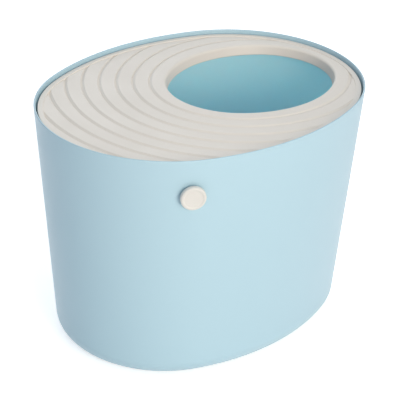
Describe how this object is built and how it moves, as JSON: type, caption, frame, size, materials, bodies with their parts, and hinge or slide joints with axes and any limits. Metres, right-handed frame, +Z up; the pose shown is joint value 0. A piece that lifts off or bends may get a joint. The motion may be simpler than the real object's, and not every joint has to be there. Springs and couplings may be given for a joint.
{
  "type": "top entry litter box",
  "caption": "Deep oval litter tub with a drop-in lid; a cat climbs in through the oval opening on top, and grooves in the lid catch the litter.",
  "frame": {"origin": "on the ground, under the middle of the tub", "axes": "+X along the tub's length toward the end with the opening, -Y the front, with the peg, +Z up"},
  "size_m": [0.5198, 0.4078, 0.37],
  "materials": {
    "tub": "satin",
    "lid": "satin",
    "peg": "satin",
    "clip": "satin",
    "feet": "matt"
  },
  "bodies": {
    "bin": {"bin_shell": "tub", "scoop_peg": "peg", "peg_clip": "clip", "foot_front_left": "feet", "foot_front_right": "feet", "foot_rear_left": "feet", "foot_rear_right": "feet"},
    "lid": {"lid": "lid"}
  },
  "joints": [
    {"name": "lid_lift", "type": "slide", "parent": "bin", "child": "lid", "axis": [0, 0, 1], "range_m": [0, 0.25]}
  ]
}
